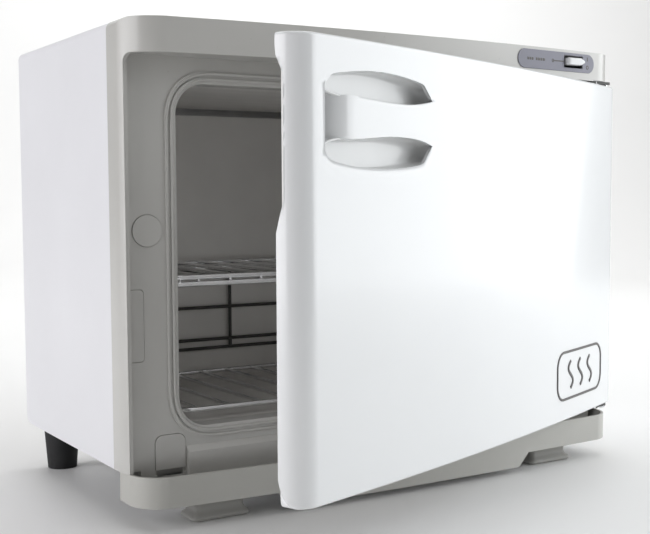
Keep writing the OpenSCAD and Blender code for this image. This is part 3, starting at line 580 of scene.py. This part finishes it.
def ribbon(bm, path, width, lift, drop, closed=False, face=front_y):
    """A flat raised line along (x, z) points on a bowed face, the door's front unless told otherwise."""
    n = len(path)
    rows = []
    for i, (x, z) in enumerate(path):
        ax, az = path[i - 1] if i or closed else path[i]
        bx, bz = path[(i + 1) % n] if i < n - 1 or closed else path[i]
        length = math.hypot(bx - ax, bz - az)
        ox, oz = -(bz - az) / length, (bx - ax) / length
        row = []
        for side, up in ((-0.5, -drop), (-0.5, lift * 0.6), (-0.36, lift), (0.36, lift), (0.5, lift * 0.6),
                         (0.5, -drop)):
            px, pz = x + ox * width * side, z + oz * width * side
            row.append(bm.verts.new(Vector((px, face(px) - up, pz)) * MM))
        rows.append(row)
    if closed:
        rows.append(rows[0])
    for a, b in zip(rows, rows[1:]):
        for k in range(6):
            bm.faces.new((a[k], a[(k + 1) % 6], b[(k + 1) % 6], b[k]))
    if not closed:
        bm.faces.new(rows[0])
        bm.faces.new(rows[-1][::-1])


def stadium(x0, x1, z0, z1, r, steps=12):
    out = []
    for cx, cz, start in ((x1 - r, z1 - r, 0), (x0 + r, z1 - r, 90),
                          (x0 + r, z0 + r, 180), (x1 - r, z0 + r, 270)):
        for k in range(steps + 1):
            a = math.radians(start + 90 * k / steps)
            out.append((cx + r * math.cos(a), cz + r * math.sin(a)))
    return out


def badge():
    bm = bmesh.new()
    ring = stadium(97, 189, 65, 103, 12)
    dense = []
    for (ax, az), (bx, bz) in zip(ring, ring[1:] + ring[:1]):
        parts = max(int(math.hypot(bx - ax, bz - az) / 5), 1)
        dense += [(lerp(ax, bx, k / parts), lerp(az, bz, k / parts)) for k in range(parts)]
    ribbon(bm, dense, 2.0, 0.6, 0.3, closed=True)
    for i in (-1, 0, 1):
        wave = [(143 + 20 * i + 4.6 * math.sin(math.radians(360 * k / 24)), 73 + 22 * k / 24)
                for k in range(25)]
        ribbon(bm, wave, 2.6, 0.6, 0.3)
    bm.transform(TO_DOOR)
    return new_piece("steam_badge", bm, "badge_grey", "door", ("badge",))


# ---------------------------------------------------------------- cabinet pieces

def wire_pieces():
    shelf_lo, shelf_hi = edge_mm("wire_shelf")
    x, r = shelf_hi.x - 2, 2.0
    y0, y1 = shelf_lo.y + 2, shelf_hi.y - 2
    z = shelf_hi.z - 2
    bm = bmesh.new()
    tube(bm, rounded([(-x, y0, z), (x, y0, z), (x, y1, z), (-x, y1, z)], 9), r, closed=True)
    tube(bm, rounded([(-x + 4, y0, z - 5), (x - 4, y0, z - 5)], 1, closed=False), r)
    tube(bm, rounded([(-x + 4, y1, z - 5), (x - 4, y1, z - 5)], 1, closed=False), r)
    for side in (-1, 1):
        for y in (y0, y1):
            tube(bm, [(side * (x - 6), y, z - 5), (side * (x - 6), y, z)], r * 0.8)
    for i in range(-6, 7):
        tube(bm, rounded([(i * 26, y0, z - 4.2), (i * 26, y0 - 0.5, z + 1), (i * 26, y1 + 0.5, z + 1),
                          (i * 26, y1, z - 4.2)], 3, closed=False), 1.5)
    new_piece("shelf_wires", bm, "chrome_wire", "cabinet", ("wire_shelf",))

    rack_lo, rack_hi = edge_mm("floor_rack")
    x, y0, y1, z = rack_hi.x - 2, rack_lo.y + 2, rack_hi.y - 2, rack_hi.z - 2
    bm = bmesh.new()
    tube(bm, rounded([(-x, y0, z), (x, y0, z), (x, y1, z), (-x, y1, z)], 10), r, closed=True)
    for i in range(-6, 7):
        tube(bm, [(i * 26, y0, z + 0.6), (i * 26, y1, z + 0.6)], 1.5)
    new_piece("rack_wires", bm, "chrome_wire", "cabinet", ("floor_rack",))

    guard_lo, guard_hi = edge_mm("rear_guard")
    y = guard_hi.y - 3
    x = guard_hi.x - 1.5
    bm = bmesh.new()
    tube(bm, rounded([(-x, y, guard_lo.z), (x, y, guard_lo.z), (x, y, guard_hi.z), (-x, y, guard_hi.z)], 8),
         1.5, closed=True)
    for h in (100, 129, 158):
        tube(bm, [(-x, y - 1, h), (x, y - 1, h)], 1.5)
    for i in range(-2, 2):
        tube(bm, [(i * 86 + 43, y, guard_lo.z), (i * 86 + 43, y, guard_hi.z)], 1.5)
    for sx in (-x, x):
        for h in (100, 158):
            tube(bm, [(sx, y, h), (sx, guard_hi.y, h)], 1.5)
    new_piece("guard_wires", bm, "dark_metal", "cabinet", ("rear_guard",))


def opening_beads():
    """Round beads over the two ribs that run round the mouth of the cavity."""
    bm = bmesh.new()
    y = PANEL_Y - 0.5
    for out in (3.5, 7.5):
        x, z0, z1 = 182 + out, 65 - out, 307 + out
        tube(bm, rounded([(-x, y, z0), (x, y, z0), (x, y, z1), (-x, y, z1)], (22 + out) * 1.28, steps=14),
             1.25, closed=True, sides=10)
    new_piece("opening_beads", bm, "frame_plastic", "cabinet")


def plan_point(turn, lift=0.0):
    """A point on the left front corner of the frame, turn degrees round from the side."""
    a = math.radians(turn)
    return -BAND_HALF - (32 + lift) * math.cos(a), -17 - (32 + lift) * math.sin(a)


def recess_lip():
    """A slim round lip along the inner edge of the left strip and the lower edge of the band."""
    bow_r = (BAND_HALF**2 + BAND_BOW**2) / (2 * BAND_BOW)
    path = [(*plan_point(22.8, -0.5), 38.6 + 35 * k) for k in range(9)]
    for k in range(9):
        a = math.radians(90 * k / 8)
        path.append((*plan_point(22.8 + 12 * (1 - math.cos(a)), -0.5), 318.8 + 6 * math.sin(a)))
    path += [(*plan_point(turn, -0.5), 324.8) for turn in range(40, 90, 5)]
    for k in range(41):
        x = -192 + 9.6 * k
        path.append((x, -49 - BAND_BOW + 0.5 + bow_r - math.sqrt(bow_r**2 - x**2), 324.8))
    bm = bmesh.new()
    tube(bm, path, 0.55, sides=10)
    new_piece("recess_lip", bm, "frame_plastic", "cabinet")


def band_y(x):
    """Y of the control label's face on the bowed band."""
    bow_r = (BAND_HALF**2 + BAND_BOW**2) / (2 * BAND_BOW)
    return DOOR_Y - BAND_BOW + bow_r - math.sqrt((bow_r + 0.6)**2 - x**2)


def label_prints():
    """Plain dashes, the index line and the on and off marks."""
    mid = 338.2
    dark = bmesh.new()
    for start, count, long in ((111.5, 3, 1.9), (121, 4, 2.2)):
        for k in range(count):
            x = start + k * (long + 0.55)
            ribbon(dark, [(x, mid), (x + long, mid)], 2.1, 0.12, 0.2, face=band_y)
    ribbon(dark, [(141, mid), (154, mid)], 1.0, 0.12, 0.2, face=band_y)
    ring = [(141 + 1.1 * math.cos(t), mid + 1.1 * math.sin(t)) for t in (math.pi * k / 8 for k in range(16))]
    ribbon(dark, ring, 0.6, 0.12, 0.2, closed=True, face=band_y)
    ribbon(dark, [(183.5, 340.2), (183.5, 343.4)], 1.1, 0.12, 0.2, face=band_y)
    turns = [math.pi * k / 8 for k in range(16)]
    ring = [(183.5 + 1.3 * math.cos(t), 335 + 1.3 * math.sin(t)) for t in turns]
    ribbon(dark, ring, 1.0, 0.12, 0.2, closed=True, face=band_y)
    new_piece("label_marks", dark, "badge_grey", "cabinet")


def rocker():
    """The switch's rocker, pointed at its right end."""
    lo, hi = edge_mm("power_knob")
    bm = bmesh.new()
    tip, shoulder, x0 = hi.x - 0.5, hi.x - 4.4, lo.x + 0.5
    mid, half = (lo.z + hi.z) / 2, 3.0
    outline = rounded([(x0, 0, mid - half), (shoulder, 0, mid - half), (tip, 0, mid - 0.7),
                       (tip, 0, mid + 0.7), (shoulder, 0, mid + half), (x0, 0, mid + half)], 0.9, steps=4)
    centre = sum(outline, Vector()) / len(outline)
    rings = []
    for y, shrink in ((-44, 0), (lo.y + 1.2, 0), (lo.y + 0.5, 0.04), (lo.y + 0.12, 0.12), (lo.y, 0.24)):
        ring = []
        for p in outline:
            q = p + (centre - p) * shrink
            belly = 0.045 * (q.z - mid)**2
            ring.append(bm.verts.new(Vector((q.x, y + belly, q.z)) * MM))
        rings.append(ring)
    for a, b in zip(rings, rings[1:]):
        for k in range(len(a)):
            bm.faces.new((a[k], a[(k + 1) % len(a)], b[(k + 1) % len(a)], b[k]))
    bm.faces.new(rings[0][::-1])
    bm.faces.new(rings[-1])
    new_piece("rocker", bm, "white_gloss", "power_knob", ("power_knob",))


def front_feet():
    lo, hi = edge_mm("front_feet")
    top = hi.z - 0.15
    cy = (lo.y + hi.y) / 2
    half_d = (hi.y - lo.y) / 2
    for name, side in (("left", -1), ("right", 1)):
        bm = bmesh.new()
        cx = side * (hi.x - 23)
        loft(bm, [(cx, cy, 0, 21.6, half_d - 1.4, 4.5), (cx, cy, 0.8, 22.8, half_d - 0.2, 5),
                  (cx, cy, 2.2, 23, half_d, 5), (cx, cy, 3.6, 22.4, half_d - 0.6, 5),
                  (cx, cy, 5.2, 20.4, half_d - 2.4, 4.5), (cx, cy, 7.5, 19.2, half_d - 3.4, 4),
                  (cx, cy, 10.5, 19.2, half_d - 3.4, 4), (cx, cy, 12.6, 20.6, half_d - 2.2, 4.5),
                  (cx, cy, 14, 22.6, half_d - 0.4, 5), (cx, cy, top, 23, half_d, 5)])
        ob = new_piece("front_foot_" + name, bm, "tray_plastic", "cabinet", bevel=0.3, angle=60)
        # the feet get the darker copy of the tray plastic: painted shade, not a different plastic
        ob.data.materials[0] = SHADED_FEET
        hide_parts("front_feet")


def carrier_wings():
    """Upright ends of the tray carrier: they close the view under the casing behind the tray."""
    lo, hi = edge_mm("tray_carrier")
    for name, side in (("left", -1), ("right", 1)):
        bm = bmesh.new()
        cx = side * (hi.x + 6.6)
        loft(bm, [(cx, -7.4, lo.z + 2, 6.6, 0.7, 0.5), (cx, -7.4, lo.z + 4, 7.4, 0.75, 0.5),
                  (cx, -7.4, hi.z - 4, 7.4, 0.75, 0.5), (cx, -7.4, hi.z - 0.3, 7.2, 0.75, 0.5)])
        new_piece("carrier_wing_" + name, bm, "bare_steel", "cabinet", bevel=0.2, angle=60)


def backdrop():
    """A pale floor that sweeps up behind the object."""
    bm = bmesh.new()
    profile = [(-3.0 + 0.5 * k, 0.0) for k in range(10)]
    profile += [(2.0 + 1.4 * math.sin(math.radians(6 * k)), 1.4 - 1.4 * math.cos(math.radians(6 * k)))
                for k in range(16)]
    profile += [(3.4, 2.4), (3.4, 4.4)]
    rows = [[bm.verts.new((x, y, z)) for x in (-5, -2.5, 0, 2.5, 5)] for y, z in profile]
    grid_faces(bm, rows)
    bm.transform(Matrix.Rotation(-0.5557, 4, "Z"))
    mesh = bpy.data.meshes.new("backdrop")
    bm.to_mesh(mesh)
    bm.free()
    sweep = bpy.data.objects.new("backdrop", mesh)
    scene.collection.objects.link(sweep)
    for poly in mesh.polygons:
        poly.use_smooth = True
    mesh.materials.append(FLOOR)


make_camera()
make_light()
for node in frame["nodes"]:
    dress(node)
door_skin()
finger_channel()
handle_scoops()
badge()
wire_pieces()
opening_beads()
recess_lip()
label_prints()
rocker()
front_feet()
carrier_wings()
backdrop()
